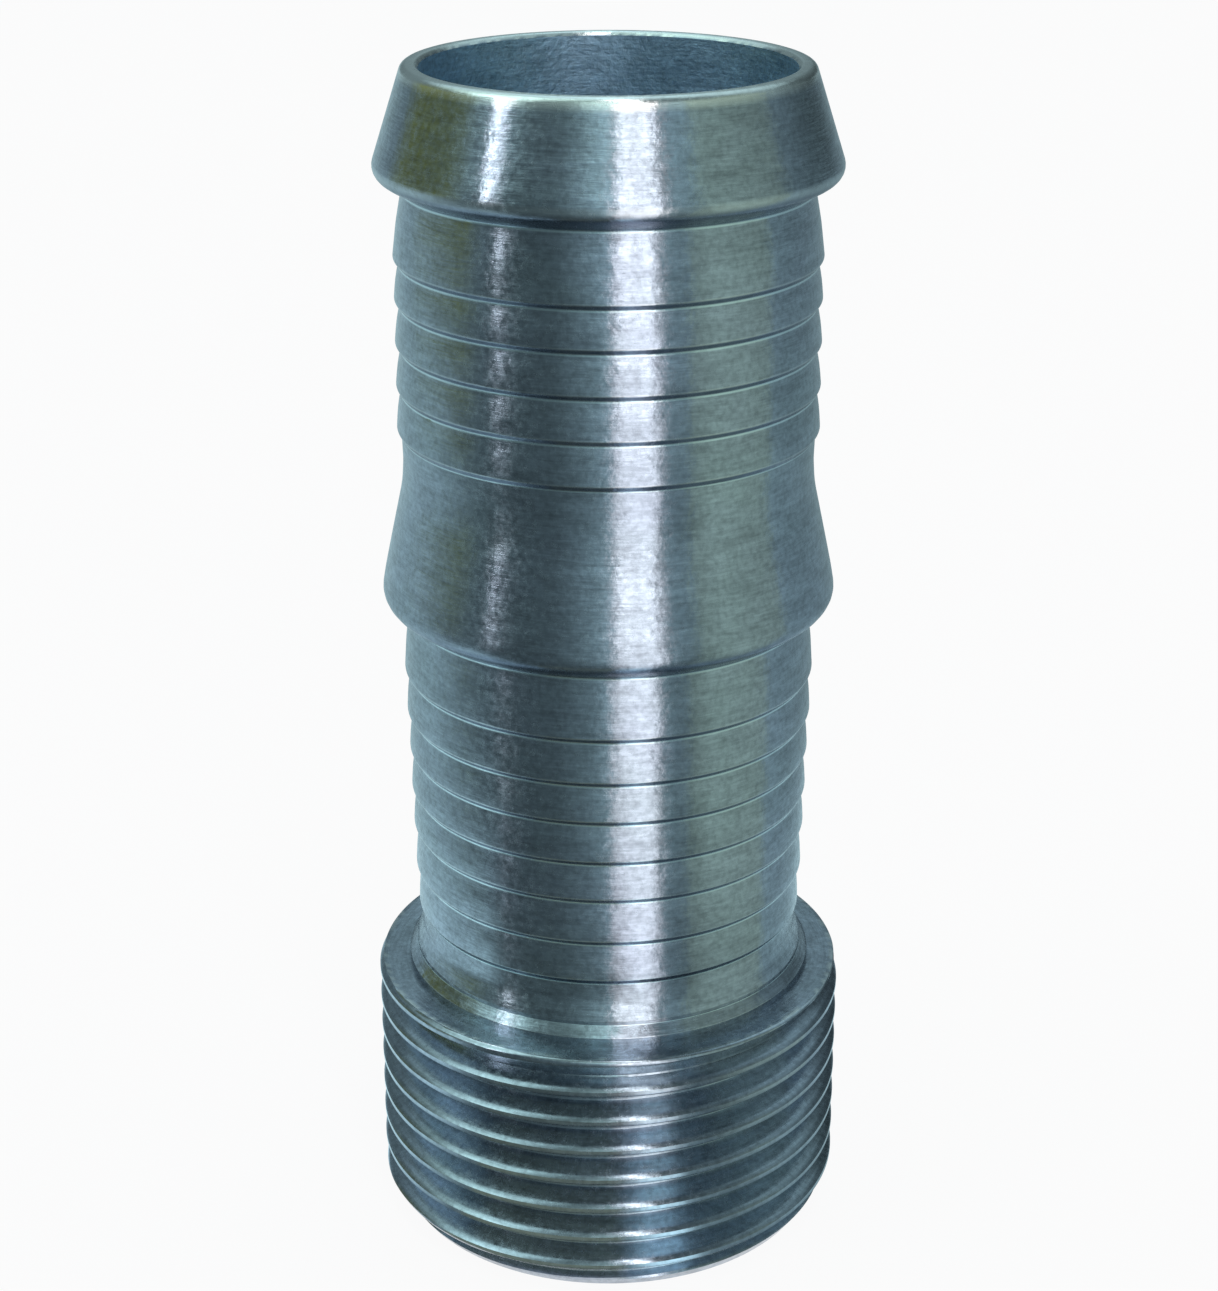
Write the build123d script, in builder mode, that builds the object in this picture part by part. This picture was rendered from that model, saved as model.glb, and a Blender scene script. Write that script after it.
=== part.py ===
from build123d import *
import os
from math import radians, tan

# A steel hose tail turned from one bar: a male pipe thread below, a barbed stem above, and one
# bore right through. Millimetres. Z = 0 is the face of the threaded end and Z runs along the
# axis to the hose end, so the part stands on its thread.

# Overall
overall_height = 82.5
bore_radius = 12.2
bore_edge_chamfer = 0.25

# Rim at the hose end
rim_radius = 13.33
rim_rounding = 0.5

# Barbs: each is a cone that widens downwards to a rounded edge, with a steep underside
top_barb_radius = 15.55
top_barb_edge_z = 75.65
top_barb_rounding = 0.9
top_barb_root_radius = 13.55
middle_barb_start_z = 54.9
middle_barb_start_radius = 13.85
middle_barb_radius = 15.6
middle_barb_edge_z = 46.55
middle_barb_rounding = 1.7
middle_barb_crown = 0.05
middle_barb_root_radius = 13.7
barb_undercut = 1.15

# Gripping rings: fine saw teeth, each cut back at its lower edge
ring_undercut = 0.6
upper_ring_count = 5
upper_ring_pitch = 2.91
upper_ring_first_z = 70.1
upper_ring_radius = 14.2
upper_ring_root_radius = 13.83
lower_ring_count = 7
lower_ring_pitch = 2.98
lower_ring_first_z = 41.15
lower_ring_radius = 14.14
lower_ring_root_radius = 13.78
lower_ring_taper = 0.08

# Foot of the stem: two small turned steps above the shoulder
stem_foot_radius = 13.4
stem_foot_z = 21.4
stem_foot_rounding = 2.0
foot_steps = ((13.85, 20.2), (14.4, 19.2))
foot_step_drop = 0.3

# Shoulder and threaded end
shoulder_z = 18.7
shoulder_chamfer_radial = 0.25
shoulder_chamfer_axial = 0.5
thread_radius = 33.249 / 2
end_chamfer_radial = 1.4
end_chamfer_axial = 2.0

# Thread: one inch parallel pipe thread, 11 turns to the inch, 55 degree Whitworth form, right hand
thread_pitch = 25.4 / 11
thread_depth = 0.6403 * thread_pitch
flank_slope = tan(radians(55 / 2))
root_width = thread_pitch / 2 - thread_depth * flank_slope
thread_root_radius = thread_radius - thread_depth
thread_start_angle = 90
turns_beyond_shoulder = 1.5
tool_overshoot = 0.2

# The die's lead: towards the shoulder the grooves get a rising floor and so get shallower
lead_start_z = 16.2
lead_end_z = 19.3
lead_inset = 0.3


def ring_points(count, pitch, first_z, edge_radius, root_radius, taper=0.0):
    """Outline of a run of rings from the top down: each ring's edge, then the root below it."""
    points = []
    for ring in range(count):
        edge_z = first_z - ring * pitch
        points.append((edge_radius - ring * taper, edge_z))
        points.append((root_radius - ring * taper, edge_z - ring_undercut))
    return points


def barb_points(edge_radius, edge_z, root_radius):
    """A barb's lower edge, then the root below its underside."""
    return [(edge_radius, edge_z), (root_radius, edge_z - barb_undercut)]


def foot_points():
    """The stem's foot: each step's edge, then the foot of its small face."""
    points = [(stem_foot_radius, stem_foot_z)]
    for radius, z in foot_steps:
        points.append((radius, z))
        points.append((radius, z - foot_step_drop))
    return points


middle_barb_middle = (
    (middle_barb_start_radius + middle_barb_radius) / 2 + middle_barb_crown,
    (middle_barb_start_z + middle_barb_edge_z) / 2,
)
stem_outline = [
    (bore_radius, overall_height - bore_edge_chamfer),
    (bore_radius + bore_edge_chamfer, overall_height),
    (rim_radius, overall_height),
    *barb_points(top_barb_radius, top_barb_edge_z, top_barb_root_radius),
    *ring_points(upper_ring_count, upper_ring_pitch, upper_ring_first_z,
                 upper_ring_radius, upper_ring_root_radius),
    (middle_barb_start_radius, middle_barb_start_z),
    middle_barb_middle,
    *barb_points(middle_barb_radius, middle_barb_edge_z, middle_barb_root_radius),
    *ring_points(lower_ring_count, lower_ring_pitch, lower_ring_first_z,
                 lower_ring_radius, lower_ring_root_radius, lower_ring_taper),
    *foot_points(),
    (foot_steps[-1][0], shoulder_z),
    (bore_radius, shoulder_z),
]

with BuildPart() as thread_tool:
    # A bar with the groove's own section, wound from below the end face to above the shoulder
    with BuildLine() as groove_path:
        groove = Helix(
            thread_pitch,
            shoulder_z + (2 + turns_beyond_shoulder) * thread_pitch,
            thread_radius,
            center=(0, 0, -thread_pitch),
        )
    groove_plane = Plane(origin=groove @ 0, x_dir=(1, 0, 0), z_dir=groove % 0)
    mouth_width = root_width + 2 * (thread_depth + tool_overshoot) * flank_slope
    with BuildSketch(groove_plane) as groove_section:
        with BuildLine() as groove_outline:
            Polyline(
                (-thread_depth, -root_width / 2),
                (tool_overshoot, -mouth_width / 2),
                (tool_overshoot, mouth_width / 2),
                (-thread_depth, root_width / 2),
                close=True,
            )
        make_face()
    sweep(path=groove, is_frenet=True)

with BuildPart() as hose_tail:
    # The collar, still plain
    with BuildSketch(Plane.XY) as collar_section:
        Circle(thread_radius)
        Circle(bore_radius, mode=Mode.SUBTRACT)
    extrude(amount=shoulder_z)

    # The thread, cut from end to end of the collar
    add(thread_tool.part, rotation=(0, 0, thread_start_angle), mode=Mode.SUBTRACT)

    # The rising floor that the die's lead leaves in the last turns. Its cone starts a little
    # below the groove's floor, so that the two surfaces cross cleanly
    lead_slope = thread_depth / (lead_end_z - lead_start_z)
    with BuildSketch(Plane.XZ) as lead_section:
        with BuildLine() as lead_outline:
            Polyline(
                (stem_foot_radius, lead_start_z - lead_inset),
                (thread_root_radius - lead_slope * lead_inset, lead_start_z - lead_inset),
                (thread_root_radius + lead_slope * (shoulder_z - lead_start_z), shoulder_z),
                (stem_foot_radius, shoulder_z),
                close=True,
            )
        make_face()
    revolve(axis=Axis.Z)

    # The long chamfer that starts the thread, the shoulder's broken edge, and the bore's mouth
    with BuildSketch(Plane.XZ) as chamfer_section:
        with BuildLine() as end_chamfer_outline:
            Polyline(
                (thread_radius - end_chamfer_radial, 0),
                (thread_radius + tool_overshoot, 0),
                (thread_radius + tool_overshoot, end_chamfer_axial),
                (thread_radius, end_chamfer_axial),
                close=True,
            )
        make_face()
        with BuildLine() as shoulder_chamfer_outline:
            Polyline(
                (thread_radius, shoulder_z - shoulder_chamfer_axial),
                (thread_radius + tool_overshoot, shoulder_z - shoulder_chamfer_axial),
                (thread_radius + tool_overshoot, shoulder_z),
                (thread_radius - shoulder_chamfer_radial, shoulder_z),
                close=True,
            )
        make_face()
        with BuildLine() as bore_chamfer_outline:
            Polyline(
                (bore_radius, 0),
                (bore_radius + bore_edge_chamfer, 0),
                (bore_radius, bore_edge_chamfer),
                close=True,
            )
        make_face()
    revolve(axis=Axis.Z, mode=Mode.SUBTRACT)

    # The stem, turned in one pass from the hose end to the shoulder
    with BuildSketch(Plane.XZ) as stem_section:
        with BuildLine() as stem_line:
            Polyline(*stem_outline, close=True)
        make_face()

        def corner(radius, z):
            return stem_section.vertices().sort_by_distance((radius, z, 0))[0]

        fillet(corner(rim_radius, overall_height), rim_rounding)
        fillet(corner(top_barb_radius, top_barb_edge_z), top_barb_rounding)
        fillet(corner(middle_barb_radius, middle_barb_edge_z), middle_barb_rounding)
        fillet(corner(stem_foot_radius, stem_foot_z), stem_foot_rounding)
    revolve(axis=Axis.Z)

os.makedirs("parts", exist_ok=True)
hose_tail.part.label = "hose_tail"
export_step(hose_tail.part, "parts/hose_tail.step")
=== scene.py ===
import math

import bmesh
import bpy
import numpy as np
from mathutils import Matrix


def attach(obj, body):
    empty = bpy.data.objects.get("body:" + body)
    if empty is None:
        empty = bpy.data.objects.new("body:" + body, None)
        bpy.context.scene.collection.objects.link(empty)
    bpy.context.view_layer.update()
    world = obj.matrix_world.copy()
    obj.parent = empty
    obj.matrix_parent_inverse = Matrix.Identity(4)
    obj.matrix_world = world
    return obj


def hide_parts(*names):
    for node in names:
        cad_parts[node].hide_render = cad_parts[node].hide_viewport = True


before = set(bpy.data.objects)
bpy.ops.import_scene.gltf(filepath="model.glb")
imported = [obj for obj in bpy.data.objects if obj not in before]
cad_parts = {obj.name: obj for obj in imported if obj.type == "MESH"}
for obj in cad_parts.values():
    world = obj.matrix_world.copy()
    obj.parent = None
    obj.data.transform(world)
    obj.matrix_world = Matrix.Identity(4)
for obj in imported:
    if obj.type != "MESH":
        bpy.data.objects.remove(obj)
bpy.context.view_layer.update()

# The barbed stem: the upper three quarters of the tail, turned from one steel bar in one pass.
# Its outline runs from the bore's mouth over the rim, the top barb, five rings, the long
# middle barb, seven more rings and the small steps of the foot, down to the shoulder.

# sizes are in millimetres up to the mesh, and heights are from the face of the threaded end
MM = 0.001
BORE = 12.2
BORE_CHAMFER = 0.25
SHOULDER_Z = 18.7
RIM_TOP = 82.5

# (height and radius of the ring's edge, radius of the root beneath it) of each ring
UPPER_RINGS = ((70.05, 14.19, 13.82), (67.25, 14.17, 13.81), (64.3, 14.19, 13.82),
               (61.4, 14.2, 13.9), (58.45, 14.22, 13.92))
LOWER_RINGS = ((41.2, 14.16, 13.80), (38.05, 14.08, 13.70), (35.2, 13.98, 13.62),
               (32.25, 13.92, 13.56), (29.4, 13.84, 13.46), (26.2, 13.76, 13.38),
               (23.2, 13.62, 13.30))
RING_UNDERCUT = 0.38
RING_ROUNDING = 0.26
RING_CROWN, CROWN_ROUNDING = 0.065, 9.0
ROOT_ROUNDING = 0.3

# (radius, height, rounding) of every corner, from the top down
stem = [(BORE, RIM_TOP - BORE_CHAMFER, 0.3), (BORE + BORE_CHAMFER, RIM_TOP, 0.3),
        (13.33, RIM_TOP, 0.8), (15.55, 75.65, 0.9), (13.5, 74.55, ROOT_ROUNDING)]


def ringed(rings):
    """The rings' corners, each ring a little crowned, with a rounded edge and a small root."""
    corners = []
    for edge_z, edge, root in rings:
        above = corners[-1] if corners else stem[-1]
        middle = ((above[0] + edge) / 2 + RING_CROWN, (above[1] + edge_z) / 2)
        corners += [(*middle, CROWN_ROUNDING), (edge, edge_z, RING_ROUNDING),
                    (root, edge_z - RING_UNDERCUT, ROOT_ROUNDING)]
    return corners


stem += ringed(UPPER_RINGS)
stem += [(13.86, 56.2, 6.0), (13.97, 54.5, 8.0), (14.25, 53.2, 9.0), (14.77, 50.8, 20.0),
         (15.28, 48.4, 20.0), (15.6, 46.55, 1.7), (13.75, 45.4, ROOT_ROUNDING)]
stem += ringed(LOWER_RINGS)
stem += [(13.4, 21.4, 1.6), (13.85, 20.2, 0.08), (13.85, 19.9, 0.08), (14.4, 19.2, 0.08),
         (14.4, SHOULDER_Z, 0.1)]

# a corner rounded more than this is a curve, and its plating looks no different there
BROADEST_EDGE = 1.5
ARC_STEP = math.radians(14)
ARC_ROOM = 0.45
LONGEST_RUN = 0.6


def turned(corners):
    """Points (radius, height, edge) of a turned outline: each corner rounded by an arc, each
    run between corners divided. edge is 1 on an outer corner, -1 in an inner one, else 0."""
    spots = [np.array(corner[:2]) for corner in corners]
    points = [(*spots[0], 0.0)]
    for before, here, after, corner in zip(spots, spots[1:], spots[2:], corners[1:]):
        back, on = before - here, after - here
        reach_back, reach_on = np.linalg.norm(back), np.linalg.norm(on)
        back, on = back / reach_back, on / reach_on
        half = math.acos(max(-1.0, min(1.0, float(back @ on)))) / 2
        setback = min(corner[2] / math.tan(half), ARC_ROOM * min(reach_back, reach_on))
        side = 1.0 if back[0] * on[1] - back[1] * on[0] > 0 else -1.0
        mark = side if corner[2] <= BROADEST_EDGE else 0.0
        steps = max(2, math.ceil((math.pi - 2 * half) / ARC_STEP))
        first, last = here + back * setback, here + on * setback
        weight = math.sin(half)
        for step in range(steps + 1):
            t = step / steps
            bow = (1 - t) ** 2 * first + 2 * t * (1 - t) * weight * here + t ** 2 * last
            bow /= (1 - t) ** 2 + 2 * t * (1 - t) * weight + t ** 2
            points.append((*bow, mark * (1 - abs(2 * t - 1)) ** 0.5))
    points.append((*spots[-1], 0.0))
    divided = [points[0]]
    for point in points[1:]:
        last = divided[-1]
        parts = math.ceil(math.dist(last[:2], point[:2]) / LONGEST_RUN)
        for part in range(1, parts):
            share = part / parts
            divided.append((last[0] + (point[0] - last[0]) * share,
                            last[1] + (point[1] - last[1]) * share, 0.0))
        divided.append(point)
    return np.array(divided)


SEGMENTS = 200
angles = np.arange(SEGMENTS) * 2 * math.pi / SEGMENTS
chance = np.random.default_rng(17)


def wander(count, lowest, highest):
    """Rows of a soft random wave round the axis, each between about -1 and 1."""
    waves = np.zeros((count, SEGMENTS))
    for turns in range(lowest, highest):
        size = chance.normal(size=(count, 1)) / math.sqrt(highest - lowest)
        start = chance.uniform(0, 2 * math.pi, size=(count, 1))
        waves += size * np.sin(turns * angles + start)
    return waves


stem_line = turned(stem)
rows = len(stem_line)
# a turned edge isn't perfect: it is out of true by about a hundredth and carries small nicks
OUT_OF_TRUE = 0.008
NICK_DEPTH, NICK_START = 0.03, 1.1
drift = np.cumsum(wander(rows, 1, 4), axis=0) / math.sqrt(rows) * OUT_OF_TRUE
nicks = np.clip(wander(rows, 20, 60) - NICK_START, 0, None)
nicks = nicks * np.abs(stem_line[:, 2:]) * NICK_DEPTH
stem_radius = stem_line[:, :1] + drift - nicks
stem_height = np.repeat(stem_line[:, 1:2], SEGMENTS, axis=1)
# the lip is rubbed the brightest, and the other outer edges less; inner corners keep their full
# pale painted highlight
LIP_HEIGHT, EDGE_WEAR = 0.4, 0.35
stem_line[:, 2] = np.where(stem_line[:, 1] > RIM_TOP - LIP_HEIGHT, 1.0,
                           np.where(stem_line[:, 2] > 0, EDGE_WEAR, 1.0) * stem_line[:, 2])
stem_edge = np.repeat(stem_line[:, 2:], SEGMENTS, axis=1)
# undersides are painted darker, as painted shade: none up to the first lean, and full from the
# second
BARE_LEAN, FULL_LEAN = 0.2, 0.6
lean = np.gradient(stem_line[:, 0]) / np.minimum(np.gradient(stem_line[:, 1]), -1e-6)
stem_painted_shade = np.clip((lean - BARE_LEAN) / (FULL_LEAN - BARE_LEAN), 0, 1)
stem_painted_shade = np.where(stem_line[:, 1] < RIM_TOP - 1, stem_painted_shade, 0)
stem_painted_shade = np.repeat(stem_painted_shade[:, None], SEGMENTS, axis=1)

# The threaded end: a male one inch parallel pipe thread, cut with a die on the same bar. It
# is the right hand 55 degree form with rounded crests and roots, and its grooves run out
# shallower below the shoulder, where the die's lead stopped.

PITCH = 25.4 / 11
CREST = 33.249 / 2 - 0.002
DEPTH = 0.6403 * PITCH
ROUNDING = 0.1373 * PITCH
FLANK = math.radians(27.5)
CREST_FLATTENING = 0.05
LEAD_START, LEAD_END, LEAD_EASE = 16.2, 19.3, 0.06
END_CHAMFER, END_CHAMFER_RISE = 1.4, 2.0
SHOULDER_ROUNDING = 0.32
CHAMFER_WEAR, SHOULDER_WEAR = 0.3, 0.6

# one turn's form: (height in the pitch, radius, edge, painted shade). The crest is a little
# darker all over, worn on its upper half and painted in shade on its lower one; the root gets a
# pale painted highlight and some painted shade, and the flank under each crest a little painted
# shade
CREST_DARKENING, LOWER_CREST_SHADE, ROOT_SHADE, UNDER_FLANK_SHADE = 0.12, 0.6, 0.25, 0.1
# how much pale painted highlight the thread's roots get
ROOT_HIGHLIGHT = 0.2
straight = DEPTH - 2 * ROUNDING * (1 - math.sin(FLANK))
crest = []
for swing in np.linspace(-1, 1, 7):
    turn = swing * (math.pi / 2 - FLANK)
    crest.append((ROUNDING * math.sin(turn),
                  CREST + CREST_FLATTENING - ROUNDING * (1 - math.cos(turn)),
                  max(swing + 0.4, 0) * (1 - swing), CREST_DARKENING + LOWER_CREST_SHADE * max(-swing, 0)))
crest_side = crest[-1]
root_side = (crest_side[0] + straight * math.tan(FLANK), crest_side[1] - straight)
upper_flank = [(crest_side[0] + (root_side[0] - crest_side[0]) * part,
                crest_side[1] + (root_side[1] - crest_side[1]) * part, 0.0, 0.0)
               for part in (0.25, 0.5, 0.75)]
root = []
for swing in np.linspace(-1, 1, 5):
    turn = swing * (math.pi / 2 - FLANK)
    root.append((PITCH / 2 + ROUNDING * math.sin(turn),
                 CREST - DEPTH + ROUNDING * (1 - math.cos(turn)),
                 ROOT_HIGHLIGHT * (abs(swing) ** 2 - 1), ROOT_SHADE))
under_flank = [(PITCH - height, radius, 0.0, UNDER_FLANK_SHADE)
               for height, radius, _, _ in reversed(upper_flank)]
form = np.array(crest + upper_flank + root + under_flank)
per_turn = len(form)

form_height = np.append(form[:, 0], form[0, 0] + PITCH)
form_radius = np.append(form[:, 1], form[0, 1])
form_edge = np.append(form[:, 2], form[0, 2])
form_painted_shade = np.append(form[:, 3], form[0, 3])


def threaded(height, around):
    """Radius, edge mark and painted shade of the threaded end at a height and an angle round the
    axis.
    """
    along = height - PITCH * (around + math.pi / 2) / (2 * math.pi)
    in_turn = (along - form_height[0]) % PITCH + form_height[0]
    radius = np.minimum(np.interp(in_turn, form_height, form_radius), CREST)
    edge = np.interp(in_turn, form_height, form_edge)
    painted_shade = np.interp(in_turn, form_height, form_painted_shade)
    floor = CREST - DEPTH + (height - LEAD_START) * DEPTH / (LEAD_END - LEAD_START)
    edge = np.where(floor > radius, 0.0, edge)
    painted_shade = np.where(floor > radius, 0.0, painted_shade)
    eased = LEAD_EASE * np.logaddexp(radius / LEAD_EASE, floor / LEAD_EASE)
    radius = np.where(floor > radius - 8 * LEAD_EASE, eased, radius)
    foot = CREST - END_CHAMFER * (1 - height / END_CHAMFER_RISE)
    turn = np.clip((height - SHOULDER_Z) / SHOULDER_ROUNDING + 1, 0, 1)
    rim = CREST - SHOULDER_ROUNDING * (1 - np.sqrt(1 - turn ** 2))
    limit = np.minimum(np.minimum(foot, rim), CREST)
    cut_back = limit < radius - 0.001
    edge = np.where(cut_back, CHAMFER_WEAR, edge)
    painted_shade = np.where(cut_back, 0.0, painted_shade)
    return np.minimum(radius, limit), edge, painted_shade


# the rows of the mesh rise with the thread, and stop at the end face and at the shoulder
turns = math.ceil(SHOULDER_Z / PITCH) + 2
rise = np.concatenate([form[:, 0] + turn * PITCH for turn in range(-1, turns)])[:, None]
thread_height = np.clip(rise - PITCH + PITCH * (angles / (2 * math.pi)), 0,
                        SHOULDER_Z - SHOULDER_ROUNDING)
thread_radius, thread_edge, thread_painted_shade = threaded(thread_height, angles[None, :])

mesh_points, mesh_faces, mesh_edges, mesh_painted_shades = [], [], [], []


def lay(radius, height, edge, painted_shade, joined_turn=0):
    """Adds rows of points round the axis and the faces between them. Where joined_turn is
    not 0, the last column meets the first that many rows higher, as a thread does."""
    base = sum(len(block) for block in mesh_points)
    count = radius.shape[0]
    mesh_points.append(np.stack([radius * np.cos(angles), radius * np.sin(angles),
                                 np.broadcast_to(height, radius.shape)], axis=-1)
                       .reshape(-1, 3) * MM)
    mesh_edges.append(np.broadcast_to(edge, radius.shape).reshape(-1))
    mesh_painted_shades.append(np.broadcast_to(painted_shade, radius.shape).reshape(-1))
    row, column = np.meshgrid(np.arange(count - 1), np.arange(SEGMENTS), indexing="ij")
    following = (column + 1) % SEGMENTS
    lift = np.where(following == 0, joined_turn, 0)
    keep = (row + 1 + lift) < count
    corners = np.stack([row * SEGMENTS + column,
                        (row + lift) * SEGMENTS + following,
                        (row + 1 + lift) * SEGMENTS + following,
                        (row + 1) * SEGMENTS + column], axis=-1)[keep]
    mesh_faces.append(corners + base)


lay(thread_radius, thread_height, thread_edge, thread_painted_shade, per_turn)

# the rounded edge of the shoulder, then its face, from the top turn in to the stem's foot
rounded = np.sin(np.linspace(0, math.pi / 2, 8))[:, None]
rounded_height = SHOULDER_Z - SHOULDER_ROUNDING * (1 - rounded) + np.zeros((1, SEGMENTS))
rounded_radius, _, _ = threaded(rounded_height, angles[None, :])
lay(rounded_radius, rounded_height, SHOULDER_WEAR * rounded, 0.0)
FACE_ROWS = 6
inward = np.linspace(0, 1, FACE_ROWS)[:, None]
rim_radius, _, _ = threaded(np.full(SEGMENTS, SHOULDER_Z), angles)
face_radius = rim_radius[None, :] * (1 - inward) + stem_radius[-1:] * inward
lay(face_radius, np.full((FACE_ROWS, 1), SHOULDER_Z), 0.0, 0.0)
lay(stem_radius[::-1], stem_height[::-1], stem_edge[::-1], stem_painted_shade[::-1])

# The bore and the end face: one hole drilled right through the bar and left as drilled, and
# the bar's end faced flat. Both mouths of the bore are deburred. Rows stand close together
# below the upper mouth, so that its rounding doesn't shade the wall.

mouth = turned([(BORE + BORE_CHAMFER, 0.0, 0.05), (BORE, BORE_CHAMFER, 0.08), (BORE, 1.2, 0.0)])
end_radius, _, _ = threaded(np.zeros(SEGMENTS), angles)
face_radius = end_radius[None, :] * (1 - inward) + mouth[0, 0] * inward
lay(face_radius[::-1], np.zeros((FACE_ROWS, 1)), 0.0, 0.0)
bore_height = np.concatenate([mouth[:, 1], np.arange(4.0, 82.0, 4.0),
                              [81.5, 82.0, 82.15, 82.21, stem_line[0, 1]]])
bore_radius = np.full((len(bore_height), SEGMENTS), BORE)
bore_radius[:len(mouth)] = mouth[:, :1]
bore_radius[-1] = stem_radius[0]
lay(bore_radius[::-1], bore_height[::-1, None], 0.0, 0.0)

# all the rows joined into one closed skin. "edge" marks where the plating is worn and, below
# 0, where a pale highlight is painted into inner corners; the other mark is painted shade
tail_mesh = bpy.data.meshes.new("hose_tail_turned")
tail_mesh.from_pydata(np.concatenate(mesh_points).tolist(), [],
                      np.concatenate(mesh_faces).tolist())
for name, blocks in (("edge", mesh_edges), ("painted_shade", mesh_painted_shades)):
    mark = tail_mesh.attributes.new(name, "FLOAT", "POINT")
    mark.data.foreach_set("value", np.concatenate(blocks).astype(np.float32))
shaped = bmesh.new()
shaped.from_mesh(tail_mesh)
bmesh.ops.remove_doubles(shaped, verts=shaped.verts, dist=2e-6)
bmesh.ops.dissolve_degenerate(shaped, edges=shaped.edges, dist=1e-6)
bmesh.ops.recalc_face_normals(shaped, faces=shaped.faces)
shaped.to_mesh(tail_mesh)
shaped.free()
SHARPEST_SMOOTH = 32
tail_mesh.shade_smooth()
tail_mesh.set_sharp_from_angle(angle=math.radians(SHARPEST_SMOOTH))
hose_tail = bpy.data.objects.new("hose_tail_turned", tail_mesh)
bpy.context.scene.collection.objects.link(hose_tail)

# The finish: bright zinc plating over the whole tail. It is thin, so the turning marks still
# show through it as fine rings, and it is faintly mottled and cloudy between two blue greys.
# It is brightest on the stem, smoother on the thread and dull inside the bore, where bluer tones
# are painted lighter than outside to paint light into the shaded hole.


def node(tree, kind, settings=None, **inputs):
    """Adds a node, sets its settings, and links or sets its inputs by their names."""
    made = tree.nodes.new(kind)
    for name, value in (settings or {}).items():
        setattr(made, name, value)
    for name, value in inputs.items():
        socket = made.inputs[int(name[1:])] if name[1:].isdigit() else made.inputs[name]
        if isinstance(value, bpy.types.NodeSocket):
            tree.links.new(value, socket)
        else:
            socket.default_value = value
    return made


def maths(tree, operation, first, second=0.0, clamp=False):
    """One Math node's result."""
    return node(tree, "ShaderNodeMath", {"operation": operation, "use_clamp": clamp},
                _0=first, _1=second).outputs[0]


def blended(tree, how, share, first, second):
    """One colour Mix node's result."""
    made = node(tree, "ShaderNodeMix", {"data_type": "RGBA", "blend_type": how})
    for socket, value in zip((made.inputs[0], made.inputs[6], made.inputs[7]),
                             (share, first, second)):
        if isinstance(value, bpy.types.NodeSocket):
            tree.links.new(value, socket)
        else:
            socket.default_value = value
    return made.outputs[2]


def ranged(tree, value, lowest, highest, first=0.0, last=1.0):
    """The value taken from one range to another, and held at its ends."""
    made = node(tree, "ShaderNodeMapRange", Value=value)
    for name, limit in (("From Min", lowest), ("From Max", highest),
                        ("To Min", first), ("To Max", last)):
        made.inputs[name].default_value = limit
    return made.outputs[0]


# Plating as it settles on turned steel: the heights of the cut's rings and of fine pits and
# blotches, and masks for soft clouds and for specks. The inputs are steps in a metre.
plated = bpy.data.node_groups.new("plated_surface", "ShaderNodeTree")
for name, default in (("Ring Length", 600.0), ("Ring Fineness", 5000.0), ("Pit Scale", 2200.0)):
    socket = plated.interface.new_socket(name, in_out="INPUT", socket_type="NodeSocketFloat")
    socket.default_value = default
for name in ("Rings", "Pits", "Clouds", "Specks", "Blotches"):
    plated.interface.new_socket(name, in_out="OUTPUT", socket_type="NodeSocketFloat")
given = plated.nodes.new("NodeGroupInput")
place = node(plated, "ShaderNodeTexCoord").outputs["Object"]
split = node(plated, "ShaderNodeSeparateXYZ", _0=place)
out_x = maths(plated, "MULTIPLY", split.outputs[0], split.outputs[0])
out_y = maths(plated, "MULTIPLY", split.outputs[1], split.outputs[1])
from_axis = maths(plated, "SQRT", maths(plated, "ADD", out_x, out_y))
along_cut = maths(plated, "SUBTRACT", split.outputs[2], from_axis)


def cut_marks(length, fineness, detail):
    """Noise drawn out round the axis: length and fineness are its steps in a metre."""
    spot = node(plated, "ShaderNodeCombineXYZ",
                _0=maths(plated, "MULTIPLY", split.outputs[0], length),
                _1=maths(plated, "MULTIPLY", split.outputs[1], length),
                _2=maths(plated, "MULTIPLY", along_cut, fineness))
    return node(plated, "ShaderNodeTexNoise", Vector=spot.outputs[0], Scale=1.0,
                Detail=detail, Roughness=0.6).outputs["Fac"]


fine_marks = cut_marks(given.outputs["Ring Length"], given.outputs["Ring Fineness"], 3.0)
broad_marks = cut_marks(maths(plated, "MULTIPLY", given.outputs["Ring Length"], 0.5),
                        maths(plated, "MULTIPLY", given.outputs["Ring Fineness"], 0.22), 2.0)
rings = maths(plated, "ADD", maths(plated, "MULTIPLY", fine_marks, 0.5),
              maths(plated, "MULTIPLY", broad_marks, 0.5))
pits = node(plated, "ShaderNodeTexNoise", Vector=place, Scale=given.outputs["Pit Scale"],
            Detail=3.0, Roughness=0.65).outputs["Fac"]
clouds = node(plated, "ShaderNodeTexNoise", Vector=place, Scale=95.0, Detail=4.0,
              Roughness=0.6, Distortion=0.4).outputs["Fac"]
specks = node(plated, "ShaderNodeTexNoise", Vector=place, Scale=2600.0, Detail=2.0,
              Roughness=0.5).outputs["Fac"]
blotches = node(plated, "ShaderNodeTexNoise", Vector=place, Scale=700.0, Detail=2.0,
                Roughness=0.5, Distortion=0.5).outputs["Fac"]
taken = plated.nodes.new("NodeGroupOutput")
for name, value in (("Rings", rings), ("Pits", pits), ("Clouds", clouds), ("Specks", specks),
                    ("Blotches", blotches)):
    plated.links.new(value, taken.inputs[name])


LIGHT_ZINC, DEEP_ZINC = (0.44, 0.50, 0.59, 1), (0.41, 0.48, 0.54, 1)
# the bore's plating is bluer, and its tones are painted lighter than the outside's to brighten
# the shaded bore
LIGHT_BORE, DEEP_BORE = (0.46, 0.66, 0.82, 1), (0.32, 0.48, 0.62, 1)
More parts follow.
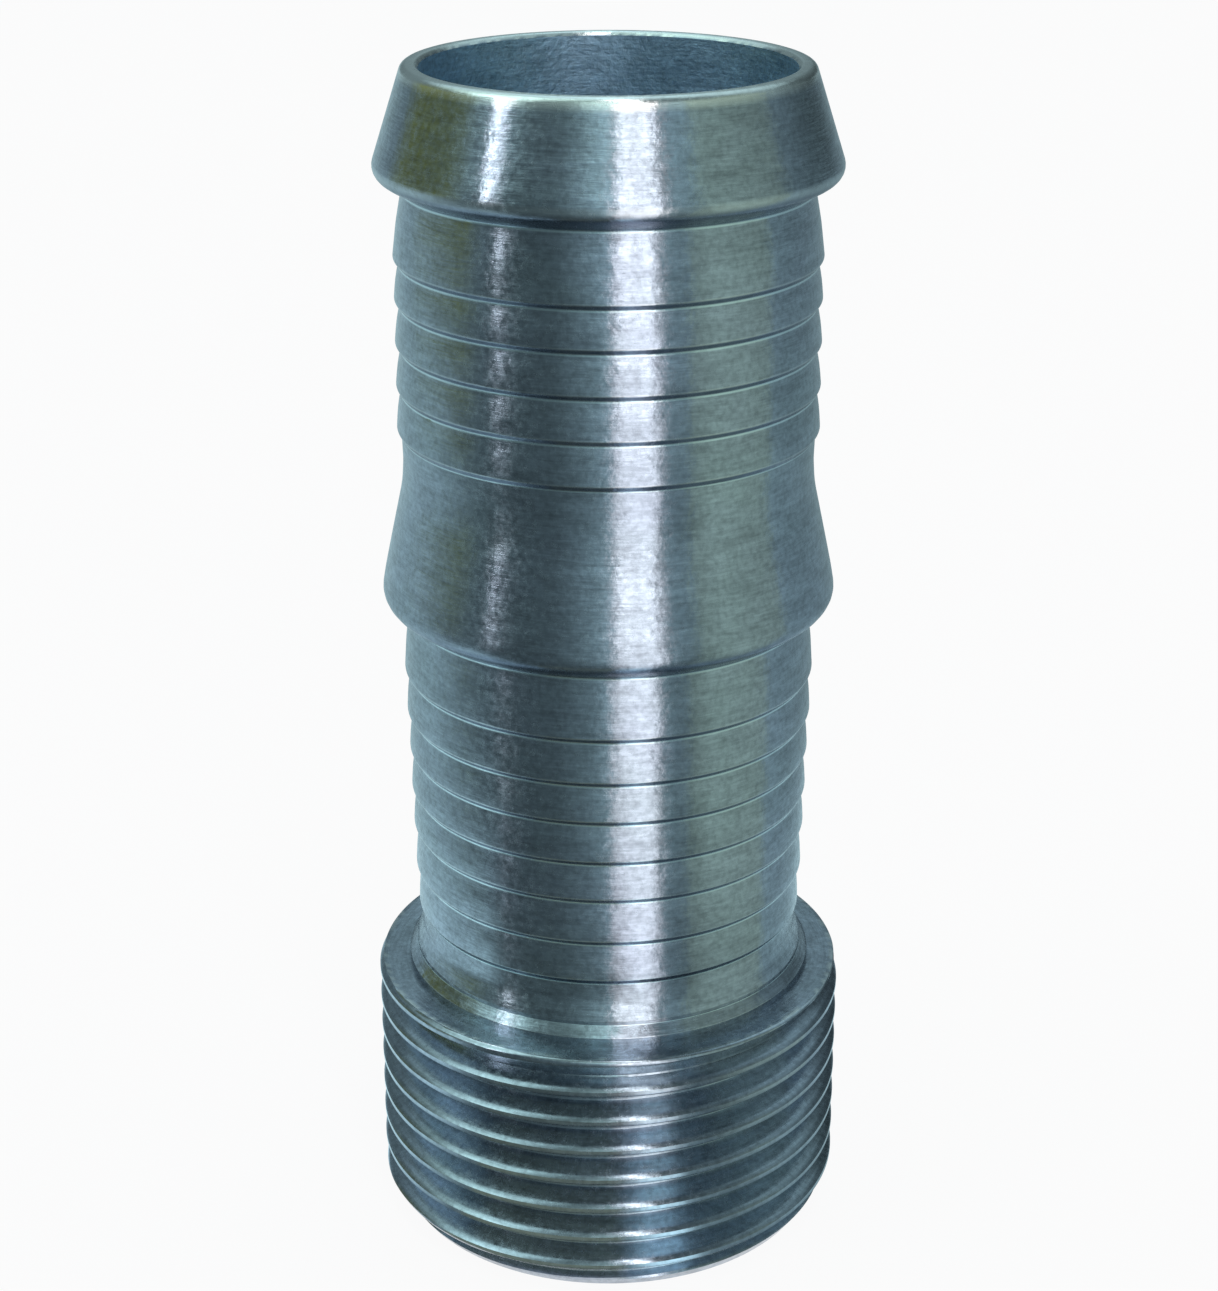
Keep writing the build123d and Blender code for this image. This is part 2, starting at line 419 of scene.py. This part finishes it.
# rubbed edges lighten towards the worn colour; the pale root colour paints a highlight into
# inner corners and the thread's roots
WORN_ZINC, ROOT_HIGHLIGHT_ZINC = (0.88, 0.92, 0.90, 1), (0.76, 0.92, 0.96, 1)
# a dark blue grey painted over undersides and into the thread's grooves as shade, and how much
# of it covers them
PAINTED_SHADE_COLOUR, PAINTED_SHADE_COVER = (0.09, 0.12, 0.19, 1), 0.75


def zinc(name, roughness, spread, rings, blotches, pits, wear, light, deep):
    """Zinc plating between two tones. spread is how far the turning marks draw highlights out,
    wear is how bright rubbed edges are, and rings, blotches and pits are depths in metres."""
    made = bpy.data.materials.new(name)
    made.use_nodes = True
    tree = made.node_tree
    metal = tree.nodes["Principled BSDF"]
    metal.inputs["Metallic"].default_value = 1.0
    metal.inputs["Anisotropic"].default_value = spread
    metal.inputs["Anisotropic Rotation"].default_value = 0.25
    round_axis = node(tree, "ShaderNodeTangent", {"direction_type": "RADIAL", "axis": "Z"})
    tree.links.new(round_axis.outputs["Tangent"], metal.inputs["Tangent"])
    surface = node(tree, "ShaderNodeGroup", {"node_tree": plated},
                   **{"Ring Length": 600.0, "Ring Fineness": 5000.0, "Pit Scale": 2200.0})
    edge = node(tree, "ShaderNodeAttribute", {"attribute_name": "edge"}).outputs["Fac"]
    worn = maths(tree, "MAXIMUM", edge, 0.0)
    root_highlight = maths(tree, "MAXIMUM", maths(tree, "MULTIPLY", edge, -1.0), 0.0)

    cloud = ranged(tree, surface.outputs["Clouds"], 0.35, 0.65)
    tone = blended(tree, "MIX", cloud, light, deep)
    grain = ranged(tree, surface.outputs["Rings"], 0.35, 0.65, 0.74, 1.12)
    tone = blended(tree, "MULTIPLY", 1.0, tone, grain)
    fleck = ranged(tree, surface.outputs["Specks"], 0.3, 0.6, 0.78, 1.0)
    tone = blended(tree, "MULTIPLY", 1.0, tone, fleck)
    tone = blended(tree, "MIX", maths(tree, "MULTIPLY", worn, wear), tone, WORN_ZINC)
    # a pale painted highlight in inner corners and the thread's roots
    tone = blended(tree, "MIX", root_highlight, tone, ROOT_HIGHLIGHT_ZINC)
    # undersides, lower crest halves, roots and the flanks under crests darkened: painted shade
    painted_shade = node(tree, "ShaderNodeAttribute", {"attribute_name": "painted_shade"}).outputs["Fac"]
    tone = blended(tree, "MIX", maths(tree, "MULTIPLY", painted_shade, PAINTED_SHADE_COVER), tone, PAINTED_SHADE_COLOUR)
    tree.links.new(tone, metal.inputs["Base Color"])

    matt = ranged(tree, surface.outputs["Pits"], 0.3, 0.7, roughness - 0.06, roughness + 0.1)
    tree.links.new(matt, metal.inputs["Roughness"])

    ring_bump = node(tree, "ShaderNodeBump", Height=surface.outputs["Rings"], Strength=1.0,
                     Distance=rings)
    blotch_bump = node(tree, "ShaderNodeBump", Height=surface.outputs["Blotches"],
                       Strength=1.0, Distance=blotches, Normal=ring_bump.outputs[0])
    pit_bump = node(tree, "ShaderNodeBump", Height=surface.outputs["Pits"], Strength=1.0,
                    Distance=pits, Normal=blotch_bump.outputs[0])
    tree.links.new(pit_bump.outputs[0], metal.inputs["Normal"])
    return made


for coat in (zinc("zinc_on_turned_steel", roughness=0.19, spread=0.95, rings=0.00003,
                  blotches=0.00002, pits=0.000007, wear=0.95, light=LIGHT_ZINC, deep=DEEP_ZINC),
             zinc("zinc_on_the_thread", roughness=0.2, spread=0.7, rings=0.000008,
                  blotches=0.000006, pits=0.000003, wear=0.15, light=LIGHT_ZINC, deep=DEEP_ZINC),
             zinc("zinc_in_the_bore", roughness=0.5, spread=0.3, rings=0.00004,
                  blotches=0.00006, pits=0.00006, wear=0.35, light=LIGHT_BORE, deep=DEEP_BORE)):
    tail_mesh.materials.append(coat)
ON_THE_THREAD, IN_THE_BORE = 1, 2
for face in tail_mesh.polygons:
    middle = face.center
    if math.hypot(middle.x, middle.y) < (BORE + 0.05) * MM:
        face.material_index = IN_THE_BORE
    elif middle.z < (SHOULDER_Z - 0.01) * MM:
        face.material_index = ON_THE_THREAD

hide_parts("hose_tail")
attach(hose_tail, "root")

# The stage: a plain pale floor that runs out of sight under a white sky, with soft light from
# large panels. Only camera, glossy and transmission rays see the floor and the sky as white.

FLOOR_REACH = 6.0
floor_mesh = bpy.data.meshes.new("floor")
floor_mesh.from_pydata([(-FLOOR_REACH, -FLOOR_REACH, 0), (FLOOR_REACH, -FLOOR_REACH, 0),
                        (FLOOR_REACH, FLOOR_REACH, 0), (-FLOOR_REACH, FLOOR_REACH, 0)],
                       [], [(0, 1, 2, 3)])
floor = bpy.data.objects.new("floor", floor_mesh)
bpy.context.scene.collection.objects.link(floor)


def background_rays(tree):
    """1 for the rays that show the background: camera, glossy and transmission rays."""
    path = node(tree, "ShaderNodeLightPath")
    direct = maths(tree, "ADD", path.outputs["Is Camera Ray"], path.outputs["Is Glossy Ray"])
    return maths(tree, "ADD", direct, path.outputs["Is Transmission Ray"], clamp=True)


WHITENED = 0.92
paper = bpy.data.materials.new("pale_floor")
paper.use_nodes = True
tree = paper.node_tree
matt = tree.nodes["Principled BSDF"]
matt.inputs["Base Color"].default_value = (0.88, 0.89, 0.9, 1)
matt.inputs["Roughness"].default_value = 0.9
matt.inputs["Specular IOR Level"].default_value = 0.1
white = node(tree, "ShaderNodeEmission", Color=(1, 1, 1, 1), Strength=1.0)
whiteness = maths(tree, "MULTIPLY", background_rays(tree), WHITENED)
lit = node(tree, "ShaderNodeMixShader", _0=whiteness, _1=matt.outputs[0], _2=white.outputs[0])
tree.links.new(lit.outputs[0], tree.nodes["Material Output"].inputs["Surface"])
floor_mesh.materials.append(paper)

world = bpy.data.worlds.new("studio")
bpy.context.scene.world = world
world.use_nodes = True
tree = world.node_tree
tree.nodes.clear()
shown = node(tree, "ShaderNodeBackground", Color=(1, 1, 1, 1), Strength=1.0)
filling = node(tree, "ShaderNodeBackground", Color=(0.92, 0.96, 1, 1), Strength=0.6)
both = node(tree, "ShaderNodeMixShader", _0=background_rays(tree), _1=filling.outputs[0],
            _2=shown.outputs[0])
node(tree, "ShaderNodeOutputWorld", Surface=both.outputs[0])

AIM_HEIGHT = 0.04


def panel(name, bearing, distance, height, width, tall, strength, colour):
    """A soft light panel, aimed at the part: bearing in degrees from the front, towards the
    right, and sizes in metres."""
    lamp = bpy.data.lights.new(name, "AREA")
    lamp.shape = "RECTANGLE"
    lamp.size, lamp.size_y = width, tall
    lamp.energy = strength * width * tall * math.pi
    lamp.color = colour
    stand = bpy.data.objects.new(name, lamp)
    swing = math.radians(bearing)
    stand.location = (distance * math.sin(swing), -distance * math.cos(swing), height)
    aim = math.atan2(height - AIM_HEIGHT, distance)
    stand.rotation_euler = (math.pi / 2 - aim, 0, swing)
    stand.visible_camera = False
    bpy.context.scene.collection.objects.link(stand)


panel("main_panel_left", 9.1, 1.2, 0.42, 0.195, 0.80, 2.3, (1.0, 0.96, 0.97))
panel("main_panel_right", 19.5, 1.2, 0.42, 0.18, 0.80, 2.4, (0.98, 0.95, 0.97))
panel("side_panel", -61, 1.0, 0.56, 0.17, 0.36, 2.3, (0.98, 0.95, 1.0))
panel("side_strip", -60.5, 1.0, 0.35, 0.04, 0.20, 7.5, (0.95, 0.95, 1.0))
panel("top_panel", 19, 0.5, 1.3, 0.12, 0.90, 5.0, (0.98, 0.98, 1.0))

# The cards: sheets round the stage and on the table that only reflections see, and that hide
# the floor and the sky from them. They glow, most of them dimly and some brighter than white.

# (bearing from the front, then the cards' greys there: on the table at the part's foot, by the
# part, further out, at the table's edge, at eye height, above it, and overhead)
CARDS = ((-180, 1.20, 0.90, 0.64, 0.20, 0.50, 1.00, 1.20),
         (-165, 1.20, 0.90, 0.62, 0.16, 0.24, 0.60, 0.90),
         (-150, 1.20, 0.95, 0.62, 0.20, 0.22, 0.70, 0.74),
         (-125, 1.20, 0.95, 0.60, 0.21, 0.18, 0.62, 0.74),
         (-110, 1.20, 0.95, 0.60, 0.20, 0.14, 0.60, 1.00),
         (-92, 1.00, 0.90, 0.40, 0.20, 0.16, 1.60, 1.50),
         (-84, 1.00, 1.10, 0.27, 0.22, 0.26, 2.20, 1.50),
         (-70, 0.90, 0.90, 0.15, 0.18, 0.36, 2.20, 1.40),
         (-66, 0.70, 0.60, 0.14, 0.14, 0.36, 2.20, 1.20),
         (-60, 0.60, 0.24, 0.14, 0.11, 0.36, 2.00, 1.00),
         (-54, 0.32, 0.14, 0.12, 0.12, 0.34, 1.60, 0.80),
         (-46, 0.32, 0.12, 0.12, 0.12, 0.18, 0.40, 0.34),
         (-28, 0.32, 0.12, 0.14, 0.14, 0.18, 0.30, 0.30),
         (-18, 0.32, 0.14, 0.22, 0.24, 0.34, 0.60, 0.40),
         (-10, 0.32, 0.16, 0.28, 0.30, 0.52, 1.60, 0.60),
         (-3, 0.32, 0.16, 0.40, 0.42, 0.84, 1.70, 0.60),
         (1, 0.32, 0.16, 0.70, 0.64, 1.10, 1.60, 0.60),
         (5, 0.32, 0.18, 1.50, 0.85, 0.60, 1.20, 0.60),
         (12, 1.40, 1.20, 1.90, 0.80, 0.50, 0.70, 0.50),
         (16, 2.00, 2.00, 1.90, 0.90, 0.50, 0.50, 0.30),
         (24, 1.60, 1.40, 2.00, 0.75, 0.60, 0.40, 0.20),
         (28, 0.40, 0.34, 0.45, 0.40, 0.80, 0.30, 0.16),
         (36, 0.36, 0.20, 0.29, 0.36, 0.70, 0.24, 0.14),
         (42, 0.34, 0.20, 0.30, 0.44, 0.70, 0.24, 0.14),
         (58, 0.50, 0.40, 0.58, 0.60, 0.40, 0.24, 0.14),
         (90, 0.60, 0.50, 0.47, 0.34, 0.28, 0.26, 0.24),
         (112, 0.70, 0.58, 0.38, 0.18, 0.18, 0.40, 0.54),
         (140, 1.00, 0.90, 0.36, 0.05, 0.09, 0.56, 0.70),
         (165, 1.20, 0.90, 0.38, 0.06, 0.22, 0.60, 0.80),
         (180, 1.20, 0.90, 0.64, 0.20, 0.50, 1.00, 1.20))
# (distance from the part, height) of each row of the cards, and which grey it has
CARD_PLACES = ((0.0168, 0.0), (0.027, 0.0), (0.042, 0.0), (0.11, 0.0), (0.3, 0.0),
               (1.6, 0.15), (1.6, 0.9), (1.5, 1.25), (1.2, 1.6), (0.002, 1.7))
CARD_SHADE = (0, 0, 1, 2, 2, 3, 4, 5, 6, 6)
COOL, WARM, LAVENDER = (0.70, 0.97, 1.04), (0.80, 1.04, 0.92), (0.97, 0.95, 0.97)
MOSS, AQUA, OLIVE = (0.85, 1.0, 0.78), (0.72, 1.0, 0.96), (0.9, 1.02, 0.22)
AT_THE_FOOT, TABLE_EDGE, EYE_HEIGHT, OVERHEAD = 0, 3, 4, 6
OLIVE_BEARING, OLIVE_REACH, OLIVE_FADE = -102, 24, 12
OLIVE_SHARE = {TABLE_EDGE: 1.0, EYE_HEIGHT: 0.2}


def card_tint(bearing, level):
    """The tint over a card's grey: mostly cool, warmer on the right, and olive at the left."""
    inside = (OLIVE_REACH - abs(bearing - OLIVE_BEARING)) / OLIVE_FADE + 0.5
    olive = min(max(inside, 0), 1) * OLIVE_SHARE.get(level, 0)
    if olive > 0:
        return [cool + (full - cool) * olive for cool, full in zip(COOL, OLIVE)]
    if level == AT_THE_FOOT:
        return MOSS if -50 < bearing < 5 else COOL
    if level > EYE_HEIGHT and -130 < bearing < 8:
        return AQUA
    if 1 < bearing < 30:
        return LAVENDER
    return WARM if level < OVERHEAD and 44 < bearing < 96 else COOL


TABLE_GAP = 0.0004
card_points, card_colours, card_faces = [], [], []
bearings = np.arange(-180, 181, 3)
greys = np.array(CARDS)
for bearing in bearings:
    swing = math.radians(bearing)
    for (out, height), shade in zip(CARD_PLACES, CARD_SHADE):
        grey = np.interp(bearing, greys[:, 0], greys[:, 1 + shade])
        card_points.append((out * math.sin(swing), -out * math.cos(swing), height + TABLE_GAP))
        card_colours.append([*(grey * tone for tone in card_tint(bearing, shade)), 1.0])
places = len(CARD_PLACES)
for step in range(len(bearings) - 1):
    for spot in range(places - 1):
        first = step * places + spot
        card_faces.append((first, first + 1, first + 1 + places, first + places))
card_mesh = bpy.data.meshes.new("studio_cards")
card_mesh.from_pydata(card_points, [], card_faces)
shades = card_mesh.attributes.new("shade", "FLOAT_COLOR", "POINT")
shades.data.foreach_set("color", np.array(card_colours, dtype=np.float32).reshape(-1))
cards = bpy.data.objects.new("studio_cards", card_mesh)
board = bpy.data.materials.new("studio_cards")
board.use_nodes = True
tree = board.node_tree
tree.nodes.remove(tree.nodes["Principled BSDF"])
shade = node(tree, "ShaderNodeAttribute", {"attribute_name": "shade"}).outputs["Color"]
glow = node(tree, "ShaderNodeEmission", Color=shade, Strength=1.0)
tree.links.new(glow.outputs[0], tree.nodes["Material Output"].inputs["Surface"])
card_mesh.materials.append(board)
cards.visible_camera = cards.visible_diffuse = cards.visible_shadow = False
cards.visible_transmission = False
bpy.context.scene.collection.objects.link(cards)

# The camera: a long lens close above the rim's height, looking down at the part.

camera_data = bpy.data.cameras.new("camera")
camera_data.lens = 73.48
camera_data.sensor_width = 36
camera_data.shift_x = 0.0004
camera_data.clip_start = 0.01
camera = bpy.data.objects.new("camera", camera_data)
camera.location = (0, -0.17059, 0.11029)
camera.rotation_euler = (math.radians(68.24), 0, 0)
bpy.context.scene.collection.objects.link(camera)
bpy.context.scene.camera = camera
bpy.context.scene.view_settings.view_transform = "Standard"
